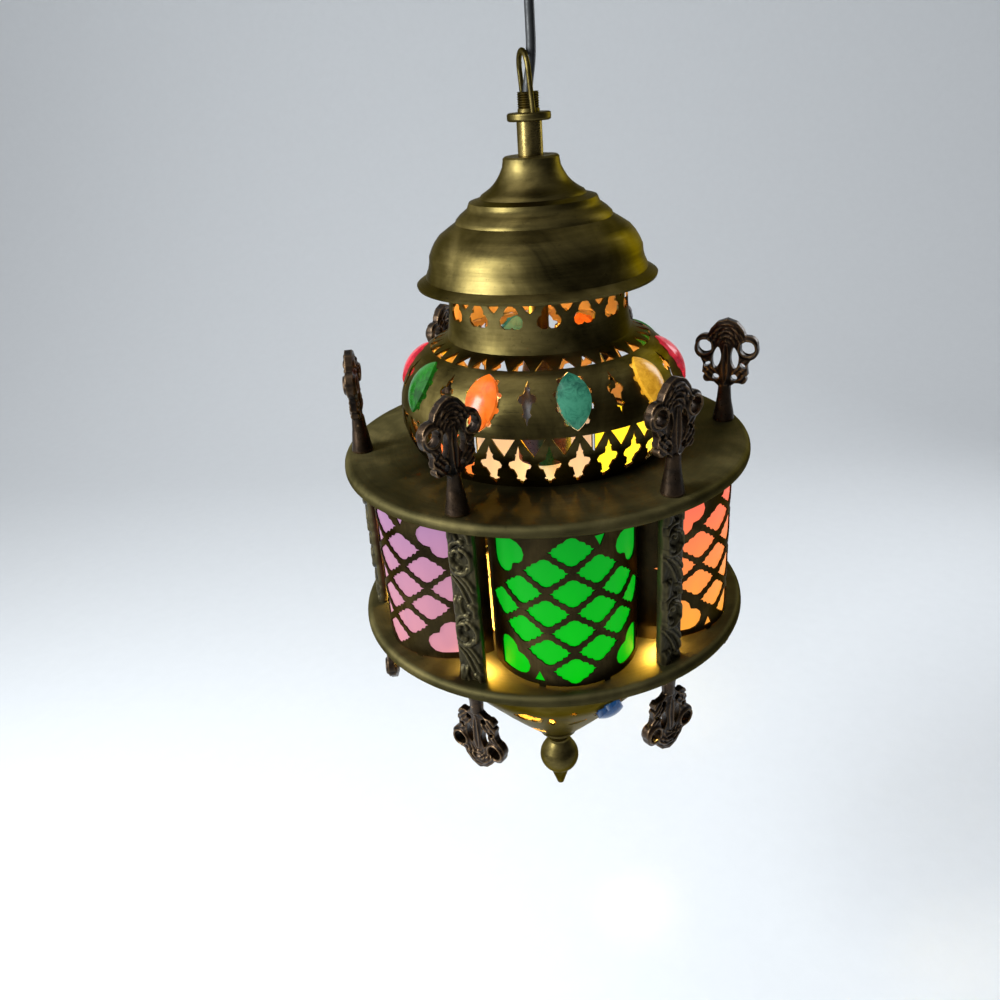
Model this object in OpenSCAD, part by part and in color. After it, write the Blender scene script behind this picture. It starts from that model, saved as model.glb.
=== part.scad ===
// Pierced brass fanous lantern that hangs on its own flex from a ceiling rose.
// Six lobed panels with coloured liners stand between two round plates, with six cast columns
// and twelve cast finials. A pierced dome with coloured glass and a spun cap close the top,
// and a pierced bowl on a hinge closes the bottom, where the bulb is changed.
// The origin is on the ceiling, where the bracket of the rose meets it, and +Z is up.

/* [Plates] */
// Outer diameter of the two round plates
plate_d = 210; // [200:1:222]
// Sheet thickness of the plates
plate_t = 1; // [0.8:0.1:1.4]
// Height of the turned-down rim of a plate
rim_h = 5.6; // [4.5:0.1:8]
// Clear height between the plates, which the panels and columns fill
plate_gap = 89; // [84:1:100]

/* [Lobed panels] */
// Distance of the half-round panels from the plate's edge
panel_inset = 7; // [5:0.1:9]
// Sheet thickness of the panels
panel_t = 0.8; // [0.6:0.1:1]
// Gap between the edges of neighbouring panels
seam = 1.2; // [0.8:0.1:2]
// Thickness of the translucent liner in each panel
liner_t = 0.6; // [0.4:0.1:0.8]
// Height of the light gap under a panel, between its feet
foot_h = 1; // [0.6:0.1:2]
// Width of one scalloped opening in a panel
ogee_w = 21.8; // [18:0.1:22.4]
// Height of one scalloped opening in a panel
ogee_h = 14.6; // [12:0.1:15]
// Width of the sheet left between two openings of one row
ogee_web = 2.7; // [2.3:0.1:6]
// Side of the square that a heart-shaped opening is made on
heart_side = 12.4; // [10:0.1:13]

/* [Columns and finials] */
// Distance of the columns and finials from the plate's edge
column_inset = 9.5; // [9:0.1:12]
// Width of a column
column_w = 13; // [10:0.1:14]
// Depth of a column without its ornament
column_depth = 4.6; // [4:0.1:5.5]
// Wall of a column round the studs that hold the finials in it
stud_wall = 0.8; // [0.6:0.1:1]
// Height of a finial above its plate
finial_h = 54; // [48:1:60]
// Width of a finial's openwork head
finial_w = 33; // [29:0.5:34]

/* [Upper dome] */
// Distance of the dome's widest line from the ring of finials
dome_clear = 23; // [21:0.5:27]
// Width of the flat flange inside the foot of the dome
dome_flange = 5.7; // [5:0.1:8]
// Radius of the dome's rounded belly
belly_r = 35; // [33:0.5:37]
// Height of the dome's widest line above the top plate
belly_z = 22; // [20:0.5:24]
// Distance from the dome's widest line in to the neck
neck_step = 29; // [27:0.5:32]
// Height of the neck above the dome's belly
neck_h = 38; // [35:0.5:42]
// Sheet thickness of the dome, cap and bowl
shell_t = 1; // [0.8:0.1:1.2]
// Length of a glass stone
stone_l = 26.5; // [24:0.5:28]
// Width of a glass stone
stone_w = 15; // [13:0.5:16]
// How far a glass stone stands out of the dome
stone_rise = 2.8; // [2:0.1:4]

/* [Cap] */
// Distance that the cap's flared rim stands out past the neck
cap_over = 14.6; // [11:0.1:18]
// Height of the cap from its rim to its flat top
cap_h = 55.5; // [50:0.5:60]
// Distance that the cap's rim hangs below the neck's top
cap_drop = 13; // [9:0.5:16]

/* [Hanging gear] */
// Outer radius of the threaded tube
tube_r = 5; // [4.5:0.1:5.5]
// Bore radius of the threaded tube
tube_bore = 3.75; // [3.2:0.05:3.9]
// Length of the threaded tube
tube_l = 124; // [118:1:130]
// Length of tube that stands open above the loop's foot
tube_stand = 8.4; // [6:0.1:10]
// Height of the spacer sleeve above the cap
sleeve_h = 14.5; // [10:0.5:16]
// Diameter of the round foot of the hanging loop
loop_foot_d = 20; // [18:0.5:24]
// Height of the loop above its foot
loop_h = 26; // [24:0.5:28]
// Thickness of the loop's bent wire
loop_wire = 2.4; // [2:0.1:2.6]
// Sideways lean of the loop, in degrees
loop_lean = 4.5; // [4:0.5:8]
// Height of the ceiling above the top plate
ceiling_z = 234; // [232:1:240]
// Diameter of the ceiling rose
rose_d = 68; // [64:1:76]
// Height of the ceiling rose
rose_h = 22; // [20:0.5:24]
// Distance between the two ceiling screws
screw_pitch = 44; // [38:1:48]
// Radius of the holes for the ceiling screws
screw_hole_r = 2.1; // [1.8:0.1:2.4]

/* [Bowl] */
// Distance that the bowl's widest line stands out past the plate's opening
bowl_lap = 8; // [7:0.1:11]
// Radius of the bowl's rounded shoulder
bowl_arc_r = 48; // [46:0.5:50]
// Depth of the bowl's widest line under the bottom plate's top
bowl_belly_z = 23; // [21:0.5:26]
// Depth of the bowl's lowest edge under the bottom plate's top
bowl_depth = 105; // [98:1:112]
// Diameter of the ball on the bottom finial
ball_d = 24.2; // [20:0.2:28]
// Clearance between the barrel of the hinge and the bowl's wall
hinge_clear = 2.1; // [1.8:0.1:3]

/* [Lamp] */
// Radius of the lampholder
holder_r = 14; // [12.5:0.5:16]
// Length of the lampholder
holder_l = 54; // [48:1:58]
// Diameter of the bulb's glass
bulb_d = 45; // [40:1:50]
// Length of the bulb's glass below the lampholder
bulb_l = 64; // [58:1:68]

/* [Hidden] */
$fn = 72;

// Sixth part of the circle, and where the first column stands
side_step = 60;
first_column = 5.5;
// Running clearance of loose pieces, and of pieces set beside each other
gap = 0.3;
run_gap = 0.05;

plate_r = plate_d / 2;
column_ring = plate_r - column_inset;
lower_z = -plate_t - plate_gap;
// Neighbouring panels meet at the seam, and all of them stay inside the plate's edge
seam_reach = seam / 2 / tan(side_step / 2);
lobe_r = (plate_r - panel_inset - seam_reach) / (1 + 1 / tan(side_step / 2));
lobe_offset = (lobe_r + seam / 2) / tan(side_step / 2);
stud_r = column_depth / 2 - stud_wall;
rim_bend = 3.5;
bead_r = 1.1;

dome_r = column_ring - dome_clear;
belly_ring = dome_r - belly_r;
neck_r = dome_r - neck_step;
shoulder_w = 3.6;
belly_low = -asin(belly_z / belly_r);
belly_high = acos((neck_r + shoulder_w - belly_ring) / belly_r);
foot_r = belly_ring + belly_r * cos(belly_low);
// The openings of both plates are as wide as the hole inside the dome's flange
mouth_r = foot_r - dome_flange;
neck_top = belly_z + belly_r + neck_h;

// Ten stones go round the dome in five colours, and the rows of openings by their pitches
stone_angle = 34;
stone_count = 10;
stone_turn = 282;
stone_back = 4;
stone_edge = 2.2;
between_l = 21;
between_w = 8.4;
band_pitch = 13.8;
band_count = round(2 * PI * dome_r / band_pitch);
band_turn = 271.5;
band_angle = -17;
band_l = 23.2;
band_w = 10.6;
band_tip_w = 11;
band_tip_h = 8.4;
band_tip_drop = 9;
crown_angle = 60.5;
crown_w = 8.2;
crown_h = 7.6;
neck_hole_pitch = 17.1;
neck_hole_count = round(2 * PI * neck_r / neck_hole_pitch);
neck_hole_turn = 276;
neck_hole_r = 6.1;
neck_hole_drop = 22.5;
neck_oval_l = 12;
neck_oval_w = 7;
neck_oval_drop = 14;

cap_r = neck_r + cap_over;
cap_rim_z = neck_top - cap_drop;
cap_top = cap_rim_z + cap_h;
loop_foot_z = cap_top + sleeve_h;
loop_foot_t = 3.6;
tube_top = loop_foot_z + loop_foot_t + tube_stand;
nut_af = 16;
nut_t = 3.5;

rose_r = rose_d / 2;
rose_low = ceiling_z - rose_h;
bracket_t = 2;
bracket_w = 14;
ear_h = 9;
ear_x = rose_r - shell_t - 2;
rose_screw_z = ceiling_z - 5;
rose_screw_r = 1.5;
grip_r = 7;
grip_lip = 4;
grip_shank_r = 5;
grip_shank_l = 7;
block_size = [16, 10, 8];

// The flex leaves the tube, passes beside the loop and runs straight up into the rose
cord_r = 2.2;
cord_sides = 10;
cord_side = 2.4;
cord_points = [
    [0, 0, 150], [0, 0, 157], [0, 0, 164], [0.5, 0, 168], [1.4, 0, 173], [2.1, 0, 178],
    [2.4, 0, 184], [2.4, 0, 190], [2.4, 0, 198], [2.4, 0, 208], [2.4, 0, 217], [2.4, 0, 224]
];

bowl_r = mouth_r + bowl_lap;
bowl_ring_r = bowl_r - bowl_arc_r;
bowl_z = lower_z - bowl_belly_z;
bowl_low = lower_z - bowl_depth;
bowl_top_z = lower_z - plate_t - 0.4;
bowl_top_angle = asin((bowl_top_z - bowl_z) / bowl_arc_r);
bowl_mouth_r = bowl_ring_r + bowl_arc_r * cos(bowl_top_angle);
bowl_seat_r = 11.7;
ring_t = 1.4;
hinge_z = lower_z - plate_t - 4.2;
hinge_r = 3;
hinge_reach = bowl_arc_r + hinge_r + hinge_clear;
hinge_y = bowl_ring_r + sqrt(pow(hinge_reach, 2) - pow(hinge_z - bowl_z, 2));
pin_r = 1.25;
knuckle_l = 10;
leaf_w = 34;

holder_top = tube_top - tube_l + 2;
holder_low = holder_top - holder_l;
bulb_r = bulb_d / 2;
cap_screw_r = 6.6;
bulb_low = holder_low - bulb_l;

// Points of an arc from angle a0 to a1 about the centre [x, y]
function arc(x, y, r, a0, a1, n) =
    [for (i = [0 : n]) let (a = a0 + (a1 - a0) * i / n) [x + r * cos(a), y + r * sin(a)]];

// A list of points in the other order
function back(p) = [for (i = [len(p) - 1 : -1 : 0]) p[i]];

// Places children in the frame whose zero is the middle of the top plate's upper face
module from_plate() {
    translate([-cord_side, 0, -ceiling_z]) children();
}

// Stands a flat outline upright, facing along +X, and gives it a depth
module facing_x(depth) {
    rotate([90, 0, 90]) linear_extrude(depth) children();
}

module ring_wall(r_in, r_out, z0, z1) {
    translate([0, 0, z0]) difference() {
        cylinder(r = r_out, h = z1 - z0);
        translate([0, 0, -1]) cylinder(r = r_in, h = z1 - z0 + 2);
    }
}

// A pointed oval, long in Y
module pointed_oval(l, w) {
    r = (l * l + w * w) / (4 * w);
    intersection() {
        translate([r - w / 2, 0]) circle(r);
        translate([w / 2 - r, 0]) circle(r);
    }
}

// A pointed oval with scalloped sides, in which a stone sits
module scalloped_oval(l, w, notch) {
    r = (l * l + w * w) / (4 * w);
    pointed_oval(l, w);
    for (s = [-1, 1], k = [-1.5, -0.5, 0.5, 1.5]) {
        a = k * 0.42 * asin(l / 2 / r);
        translate([s * (r * cos(a) - r + w / 2), r * sin(a)]) circle(notch, $fn = 7);
    }
}

// A narrow scalloped opening with pointed ends, long in Y
module spindle(l, w) {
    polygon([[0, -l / 2], [w * 0.3, 0], [0, l / 2], [-w * 0.3, 0]]);
    for (s = [-1, 1]) {
        translate([s * w * 0.22, l * 0.07]) circle(w * 0.28, $fn = 8);
        translate([s * w * 0.1, -l * 0.28]) circle(w * 0.15, $fn = 5);
        translate([s * w * 0.06, l * 0.3]) circle(w * 0.12, $fn = 5);
    }
}

// A wide scalloped opening with pointed ends, long in X, with three lobes in each quarter
module ogee(w, h) {
    polygon([[-w * 0.42, 0], [0, -h * 0.42], [w * 0.42, 0], [0, h * 0.42]]);
    for (s = [-1, 1]) {
        translate([0, s * h * 0.22]) circle(h * 0.28, $fn = 12);
        polygon([[s * w * 0.25, -h * 0.14], [s * w / 2, 0], [s * w * 0.25, h * 0.14]]);
        for (v = [-1, 1]) {
            translate([s * w * 0.185, v * h * 0.16]) circle(h * 0.185, $fn = 8);
            translate([s * w * 0.32, v * h * 0.065]) circle(h * 0.13, $fn = 8);
        }
    }
}

module triangle_up(w, h) {
    polygon([[-w / 2, 0], [w / 2, 0], [0, h]]);
}

// A heart on a square, with its point in the square's lower left corner
module heart(side) {
    square(side, center = true);
    translate([side / 2, 0]) circle(side / 2, $fn = 12);
    translate([0, side / 2]) circle(side / 2, $fn = 12);
}

// Leaf with three lobes and a pointed top
module trefoil(r) {
    for (a = [90, 210, 330]) {
        rotate(a) translate([r * 0.42, 0]) circle(r * 0.56, $fn = 9);
    }
    polygon([[-r * 0.4, r * 0.6], [r * 0.4, r * 0.6], [0, r * 1.35]]);
    circle(r * 0.4, $fn = 6);
}

// Puts children on the dome's belly, facing out, at a turn about the axis and an angle up
module on_belly(turn, up, depth = 0) {
    rotate([0, 0, turn]) translate([belly_ring, 0, belly_z])
        rotate([0, -up, 0]) translate([belly_r + depth, 0, 0]) children();
}

module rose_profile(inset) {
    r = rose_r - inset;
    z = rose_low + inset;
    shoulder = 12;
    polygon(concat(
        [[0, ceiling_z], [0, z], [r - shoulder, z]],
        arc(r - shoulder, z + shoulder, shoulder, -90, 0, 8),
        [[r, ceiling_z]]
    ));
}

module ceiling_rose() {
    color("#8a7442") from_plate() translate([cord_side, 0, 0]) difference() {
        rotate_extrude() difference() {
            rose_profile(0);
            rose_profile(shell_t);
            translate([0, ceiling_z - shell_t]) square([rose_r - shell_t, 2 * shell_t]);
        }
        translate([0, 0, rose_low - 1]) cylinder(r = grip_shank_r + run_gap, h = 4);
        for (s = [0, 180]) {
            rotate([0, 0, s]) translate([ear_x, 0, rose_screw_z]) rotate([0, 90, 0])
                cylinder(r = rose_screw_r + 0.2, h = 8);
        }
    }
}

module rose_bracket() {
    color("#b9bcc0") from_plate() translate([cord_side, 0, ceiling_z]) difference() {
        union() {
            translate([-ear_x, -bracket_w / 2, -bracket_t]) cube([2 * ear_x, bracket_w, bracket_t]);
            for (s = [-1, 1]) {
                translate([s * (ear_x - bracket_t / 2) - bracket_t / 2, -bracket_w / 2, -ear_h])
                    cube([bracket_t, bracket_w, ear_h]);
            }
        }
        for (s = [-1, 1]) {
            translate([s * screw_pitch / 2, 0, -bracket_t - 1]) cylinder(r = screw_hole_r, h = bracket_t + 2);
            translate([s * (ear_x - bracket_t / 2), 0, rose_screw_z - ceiling_z]) rotate([0, 90, 0])
                cylinder(r = rose_screw_r, h = bracket_t + 2, center = true);
        }
    }
}

module rose_fasteners() {
    head_r = 3;
    color("#a08a4e") from_plate() translate([cord_side, 0, 0]) {
        for (s = [0, 180]) {
            rotate([0, 0, s]) translate([0, 0, rose_screw_z]) rotate([0, 90, 0]) {
                translate([0, 0, ear_x - bracket_t - 3])
                    cylinder(r = rose_screw_r, h = rose_r - ear_x + bracket_t + 3);
                intersection() {
                    translate([0, 0, rose_r]) cylinder(r = head_r, h = 2);
                    translate([0, 0, rose_r - head_r]) sphere(r = head_r + 1.8);
                }
            }
        }
        translate([0, 0, rose_low + shell_t]) difference() {
            cylinder(d = nut_af / cos(30), h = 3, $fn = 6);
            translate([0, 0, -1]) cylinder(r = grip_shank_r, h = 5);
        }
    }
}

module cord_grip() {
    color("#7c6a3c") from_plate() translate([cord_side, 0, rose_low]) difference() {
        union() {
            rotate_extrude() polygon(concat(
                [[0, 0], [0, -grip_lip]],
                arc(grip_r - 2, -grip_lip + 2, 2, -90, 0, 4),
                [[grip_r, 0]]
            ));
            cylinder(r = grip_shank_r, h = grip_shank_l);
        }
        translate([0, 0, -grip_lip - 1]) cylinder(r = cord_r + run_gap, h = grip_lip + grip_shank_l + 2);
    }
}

module terminal_block() {
    color("ivory") from_plate()
        translate([cord_side, 0, ceiling_z - bracket_t - block_size.z / 2]) difference() {
            cube(block_size, center = true);
            for (s = [-1, 1]) {
                translate([s * block_size.x / 4, 0, -block_size.z / 2 - 1]) cylinder(r = 1.6, h = 5);
            }
        }
}

function cord_way(i) =
    let (last = len(cord_points) - 1, d = cord_points[min(i + 1, last)] - cord_points[max(i - 1, 0)])
    d / norm(d);

// One tube through the chosen points, with its rings square to the way
module cord_tube(points, r, sides) {
    n = len(points);
    rings = [for (i = [0 : n - 1]) let (w = cord_way(i), u = [w.z, 0, -w.x])
        for (k = [0 : sides - 1]) let (a = 360 * k / sides)
            points[i] + r * (cos(a) * u + sin(a) * [0, 1, 0])];
    walls = [for (i = [0 : n - 2], k = [0 : sides - 1]) let (j = (k + 1) % sides)
        [i * sides + k, (i + 1) * sides + k, (i + 1) * sides + j, i * sides + j]];
    low_end = [for (k = [0 : sides - 1]) k];
    high_end = [for (k = [sides - 1 : -1 : 0]) (n - 1) * sides + k];
    polyhedron(rings, concat([low_end, high_end], walls));
}

module cord() {
    color("#1d1d1f") from_plate() cord_tube(cord_points, cord_r, cord_sides);
}

module cord_bush() {
    color("#2c2a28") from_plate() ring_wall(cord_r + run_gap, tube_bore, tube_top - 9, tube_top - 1);
}

// The round foot that screws on the tube, and the wire bent over the tube's end
module hanging_loop() {
    r = loop_wire / 2;
    leg = tube_r + 1.2 + r;
    straight = loop_h - leg - r;
    turn = 15;
    sunk = 1;
    color("#8c7a4a") from_plate() translate([0, 0, loop_foot_z]) {
        difference() {
            rotate_extrude() polygon(concat(
                [[0, 0]],
                arc(loop_foot_d / 2 - 1, 1, 1, -90, 0, 3),
                arc(loop_foot_d / 2 - 1, loop_foot_t - 1, 1, 0, 90, 3),
                [[0, loop_foot_t]]
            ));
            translate([0, 0, -1]) cylinder(r = tube_r, h = loop_foot_t + 2);
        }
        translate([0, 0, loop_foot_t]) rotate([0, -loop_lean, turn]) {
            for (s = [-1, 1]) {
                translate([0, s * leg, -sunk]) cylinder(r = r, h = straight + sunk);
            }
            translate([0, 0, straight]) difference() {
                rotate([0, 90, 0]) rotate_extrude() translate([leg, 0]) circle(r);
                translate([-2 * r, -2 * leg, -2 * leg]) cube([4 * r, 4 * leg, 2 * leg]);
            }
        }
    }
}

// The tube has its thread where it shows and a plain wall under the sleeve
module threaded_tube() {
    pitch = 1;
    crests = floor(tube_top - loop_foot_z - loop_foot_t - 0.5);
    low = tube_top - tube_l;
    color("#7d7350") from_plate() rotate_extrude() polygon(concat(
        [[tube_bore, tube_top], [tube_bore, low], [tube_r, low]],
        [for (i = [crests : -1 : 1], p = [[tube_r, -i * pitch], [tube_r - 0.45, -(i - 0.5) * pitch]])
            [p[0], tube_top + p[1]]],
        [[tube_r - 0.1, tube_top]]
    ));
}

module spacer_sleeve() {
    color("#a5893f") from_plate() ring_wall(tube_r, tube_r + 0.8, cap_top, loop_foot_z);
}

// Points moved in towards the axis and down by t, square to the line they make
function inset(p, t) =
    [for (i = [0 : len(p) - 1]) let (d = p[min(i + 1, len(p) - 1)] - p[max(i - 1, 0)])
        p[i] + t / norm(d) * [-d.y, d.x]];

// Outside line of the cap: heights above the rim, and shares of the way from spire to rim
function cap_line() =
    let (k = cap_h / 55.5, w = cap_r - spire_r)
    [for (q = [
        [0, 0.993], [1.2, 1], [2.4, 0.96], [3.9, 0.898], [6, 0.887], [8, 0.867], [11, 0.85],
        [14, 0.845], [17, 0.815], [20, 0.776], [22.7, 0.725], [25.2, 0.643], [26.6, 0.597],
        [28, 0.547], [29.4, 0.536], [31.4, 0.492], [34, 0.416], [36.8, 0.39], [38.2, 0.283],
        [39.6, 0.259], [41.7, 0.185], [43.5, 0.137], [45.5, 0.098], [48, 0.063], [51, 0.031],
        [53.9, 0.02], [54.7, 0.02], [55.5, 0]
    ]) [spire_r + w * q[1], cap_rim_z + k * q[0]]];

spire_r = 12.2;
tube_play = 0.2;

module cap() {
    outer = cap_line();
    inner = [for (i = [0 : len(outer) - 2]) inset(outer, shell_t)[i]];
    color("#7b6a34") from_plate() rotate_extrude() polygon(concat(
        outer,
        [[tube_r + tube_play, cap_top], [tube_r + tube_play, cap_top - shell_t]],
        [[spire_r - shell_t, cap_top - shell_t]],
        back(inner)
    ));
}

module hex_nut(z) {
    translate([0, 0, z]) difference() {
        cylinder(d = nut_af / cos(30), h = nut_t, $fn = 6);
        translate([0, 0, -1]) cylinder(r = tube_r, h = nut_t + 2);
    }
}

module tube_nuts() {
    color("#b7b9bb") from_plate() {
        hex_nut(cap_top - shell_t - nut_t);
        hex_nut(neck_top);
        hex_nut(neck_top - shell_t - nut_t);
    }
}

// Outside line of the dome from its foot to the edge of its flat top
function dome_line(t) =
    let (low = -asin((belly_z - t) / (belly_r - t)), z = belly_z + belly_r * sin(belly_high))
    concat(
        arc(belly_ring, belly_z, belly_r - t, t == 0 ? belly_low : low, belly_high, 11),
        [[neck_r + 2.1 - t / 2, z + 0.9 - t], [neck_r + 1.9 - t, z + 1.9 - t / 2]],
        [[neck_r + 1.1 - t, z + 6.7], [neck_r + 0.5 - t, z + 12.7]],
        arc(neck_r - 4, neck_top - 4, 4 - t, 0, 90, 4)
    );

module dome_openings() {
    cut = 14;
    deep = 9;
    for (i = [0 : stone_count - 1]) {
        turn = stone_turn + i * 360 / stone_count;
        on_belly(turn, stone_angle, -deep) facing_x(cut)
            scalloped_oval(stone_l + 2 * gap, stone_w + 2 * gap, 1.5);
        on_belly(turn + 180 / stone_count, stone_angle + 0.5, -deep) facing_x(cut)
            spindle(between_l, between_w);
    }
    for (i = [0 : band_count - 1]) {
        turn = band_turn + i * 360 / band_count;
        on_belly(turn, band_angle, -deep) facing_x(cut) spindle(band_l, band_w);
        on_belly(turn + 180 / band_count, 0, -deep) facing_x(cut)
            translate([0, band_tip_drop - 4.6]) rotate(180) triangle_up(band_tip_w, band_tip_h);
        on_belly(turn, crown_angle, -deep) facing_x(cut) triangle_up(crown_w, crown_h);
    }
    for (i = [0 : neck_hole_count - 1]) {
        turn = neck_hole_turn + i * 360 / neck_hole_count;
        rotate([0, 0, turn]) translate([neck_r - deep, 0, neck_top - neck_hole_drop])
            facing_x(cut) trefoil(neck_hole_r);
        rotate([0, 0, turn + 180 / neck_hole_count])
            translate([neck_r - deep, 0, neck_top - neck_oval_drop]) facing_x(cut)
                pointed_oval(neck_oval_l, neck_oval_w);
    }
}

module upper_dome() {
    flange = mouth_r + 1;
    inner = dome_line(shell_t);
    color("#83713a") from_plate() difference() {
        rotate_extrude() polygon(concat(
            [[flange, 0]],
            dome_line(0),
            [[tube_r + 0.1, neck_top], [tube_r + 0.1, neck_top - shell_t]],
            back(inner),
            [[flange, shell_t]]
        ));
        dome_openings();
    }
}

// Radius of a stone's round face, from its length and its height over its own edge
function stone_ball(l, rise) = (l * l / 4 + rise * rise) / (2 * rise);

// A domed glass stone, flat behind, that fills one opening of the dome
module dome_stone(i) {
    ball = stone_ball(stone_l, stone_rise + stone_edge);
    on_belly(stone_turn + i * 360 / stone_count, stone_angle) intersection() {
        translate([-stone_back, 0, 0]) facing_x(stone_back + stone_rise + 1)
            pointed_oval(stone_l, stone_w);
        translate([stone_rise - ball, 0, 0]) sphere(r = ball);
    }
}

// Every fifth stone has the same colour
module dome_stones(first) {
    for (i = [first : 5 : stone_count - 1]) {
        dome_stone(i);
    }
}

module stones_green() {
    color("#1f9a35") from_plate() dome_stones(3);
}

module stones_orange() {
    color("#ef7a1a") from_plate() dome_stones(4);
}

module stones_teal() {
    color("#3aa387") from_plate() dome_stones(0);
}

module stones_yellow() {
    color("#f2b32a") from_plate() dome_stones(1);
}

module stones_red() {
    color("#c8324a") from_plate() dome_stones(2);
}

// Round plate with a turned-down edge that ends in a bead
module plate_profile(open_r) {
    polygon(concat(
        [[open_r, 0], [plate_r - rim_bend, 0]],
        arc(plate_r - rim_bend, -rim_bend, rim_bend, 90, 0, 5),
        [[plate_r, -rim_h + bead_r]],
        arc(plate_r - bead_r, -rim_h + bead_r, bead_r, 0, -180, 6),
        [[plate_r - 2 * bead_r, -rim_bend]],
        arc(plate_r - rim_bend, -rim_bend, rim_bend - plate_t, 0, 90, 5),
        [[open_r, -plate_t]]
    ));
}

module plate(open_r) {
    difference() {
        rotate_extrude() plate_profile(open_r);
        for (k = [0 : 5]) {
            rotate([0, 0, first_column + k * side_step]) translate([column_ring, 0, -plate_t - 1])
                cylinder(r = stud_r + 0.1, h = plate_t + 2, $fn = 32);
        }
    }
}

module top_plate() {
    color("#5d5633") from_plate() plate(mouth_r);
}

module bottom_plate() {
    color("#5d5633") from_plate() translate([0, 0, lower_z]) plate(mouth_r);
}

// Outline of the openwork head, standing on [0, 0], h high and w wide
module head_outline(h, w) {
    half = [[0.07, 0], [0.16, 0.07], [0.3, 0.07], [0.28, 0.18], [0.36, 0.2], [0.34, 0.34],
        [0.42, 0.48], [0.3, 0.74], [0.25, 0.85], [0.15, 0.95], [0, 1]];
    polygon(concat(
        [for (q = half) [q[0] * w, q[1] * h]],
        [for (q = back(half)) [-q[0] * w, q[1] * h]]
    ));
    for (s = [-1, 1]) {
        translate([s * w * 0.33, h * 0.56]) circle(w * 0.165);
        translate([s * w * 0.325, h * 0.63]) circle(w * 0.155);
        translate([s * w * 0.27, h * 0.13]) circle(w * 0.07, $fn = 24);
    }
}

module head_openings(h, w) {
    for (s = [-1, 1]) {
        translate([s * w * 0.335, h * 0.56]) circle(w * 0.105, $fn = 32);
        translate([s * w * 0.33, h * 0.62]) circle(w * 0.1, $fn = 32);
        translate([s * w * 0.14, h * 0.43]) rotate(s * 5) pointed_oval(h * 0.34, w * 0.13);
        translate([s * w * 0.275, h * 0.33]) rotate(s * 50) pointed_oval(h * 0.12, w * 0.06);
        translate([s * w * 0.14, h * 0.15]) circle(w * 0.05, $fn = 24);
    }
}

// Raised ridges on one face of the head
module head_relief(h, w) {
    for (s = [-1, 1]) {
        translate([s * w * 0.33, h * 0.59]) difference() {
            circle(w * 0.145, $fn = 32);
            circle(w * 0.11, $fn = 32);
        }
    }
    for (r = [0.115, 0.19]) {
        translate([0, h * 0.76]) difference() {
            circle(w * r, $fn = 32);
            circle(w * (r - 0.04), $fn = 32);
            translate([-w / 2, -w]) square([w, w * 0.96]);
        }
    }
    translate([0, h * 0.38]) pointed_oval(h * 0.68, w * 0.11);
}

// One cast finial: conical socket, openwork head and the stud below it
module finial(stud) {
    socket_h = 18;
    socket_r = 5.6;
    waist_r = 3.7;
    waist_h = 12;
    neck_r = 3.1;
    lip = 0.8;
    sunk = 1.5;
    head_h = finial_h - socket_h;
    head_t = 4;
    relief = 0.8;
    rotate_extrude() polygon([[0, 0], [socket_r, 0], [socket_r, lip], [waist_r, waist_h],
        [neck_r, socket_h + sunk], [0, socket_h + sunk]]);
    translate([-head_t / 2, 0, socket_h]) facing_x(head_t) difference() {
        head_outline(head_h, finial_w);
        head_openings(head_h, finial_w);
    }
    for (s = [0, 180]) {
        rotate([0, 0, s]) translate([head_t / 2, 0, socket_h]) facing_x(relief)
            head_relief(head_h, finial_w);
    }
    translate([0, 0, -stud]) cylinder(r = stud_r, h = stud + 1, $fn = 32);
}

// How each finial has come to be turned on its stud
top_turns = [60, 8, 25, 0, 70, 5];
lower_turns = [6, -7, 4, 0, -11, 3];
stud_l = 9;

module top_finial(k) {
    color("#2e2823") from_plate() rotate([0, 0, first_column + (k - 1) * side_step])
        translate([column_ring, 0, 0]) rotate([0, 0, top_turns[k - 1]]) finial(plate_t + stud_l);
}

module lower_finial(k) {
    color("#2e2823") from_plate() rotate([0, 0, first_column + (k - 1) * side_step])
        translate([column_ring, 0, lower_z - plate_t]) rotate([0, 0, lower_turns[k - 1]])
            rotate([180, 0, 0]) finial(plate_t + stud_l);
}

// Raised scroll, leaf and band ornament on the front of a column
module column_relief() {
    for (z = [plate_gap * 0.3, plate_gap * 0.72]) {
        translate([0, z]) {
            difference() {
                circle(column_w * 0.4, $fn = 40);
                circle(column_w * 0.3, $fn = 40);
                translate([0, -column_w * 0.4]) square([column_w, column_w * 0.5]);
            }
            difference() {
                translate([0, column_w * 0.03]) circle(column_w * 0.2, $fn = 32);
                translate([0, column_w * 0.03]) circle(column_w * 0.11, $fn = 32);
                translate([-column_w, -column_w]) square([column_w, column_w]);
            }
            translate([0, column_w * 0.72]) pointed_oval(column_w * 0.62, column_w * 0.3);
            translate([0, -column_w * 0.78]) pointed_oval(column_w * 0.7, column_w * 0.24);
        }
    }
    translate([0, plate_gap * 0.51]) rotate(24) pointed_oval(column_w, column_w * 0.26);
}

// One cast column between the plates, tapped at both ends for the studs
module column(k) {
    chamfer = 1.4;
    h = column_depth / 2;
    relief = 0.9;
    color("#33302a") from_plate() rotate([0, 0, first_column + (k - 1) * side_step])
        translate([column_ring, 0, lower_z]) difference() {
            union() {
                linear_extrude(plate_gap) polygon([[-h, -column_w / 2], [h - chamfer, -column_w / 2],
                    [h, -column_w / 2 + chamfer], [h, column_w / 2 - chamfer],
                    [h - chamfer, column_w / 2], [-h, column_w / 2]]);
                translate([h, 0, 0]) facing_x(relief) column_relief();
            }
            for (z = [-1, plate_gap - stud_l - 0.5]) {
                translate([0, 0, z]) cylinder(r = stud_r, h = stud_l + 1.5, $fn = 32);
            }
        }
}

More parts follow.
